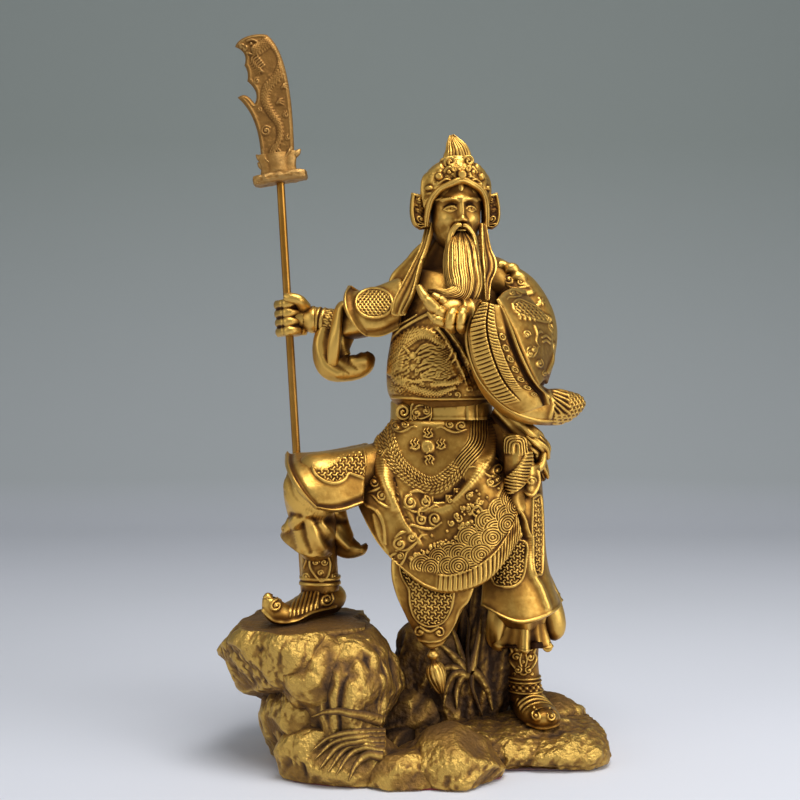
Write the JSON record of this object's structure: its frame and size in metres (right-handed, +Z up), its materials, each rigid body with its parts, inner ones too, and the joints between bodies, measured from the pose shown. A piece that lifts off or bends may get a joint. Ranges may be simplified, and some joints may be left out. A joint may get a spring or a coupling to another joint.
{
  "type": "guan yu statue",
  "caption": "Cast brass desk statue of a bearded general in armour and robe, one boot up on a rock, holding a long glaive and stroking his beard.",
  "frame": {"origin": "middle of the base's underside, on the table", "axes": "+Z up, the general's front faces -Y, +X is the viewer's right"},
  "size_m": [0.2298, 0.1363, 0.436],
  "materials": {
    "brass": "satin cast, brown patina in the recesses",
    "rock_brass": "rough cast, brown patina with bright rubbed edges",
    "rod_brass": "smooth drawn",
    "blade_brass": "matte cast, antique",
    "felt": "short felt"
  },
  "bodies": {
    "root": {"figure": "brass", "rock_base": "rock_brass", "glaive_shaft": "rod_brass", "glaive_blade": "blade_brass", "base_felt": "felt"}
  },
  "joints": []
}
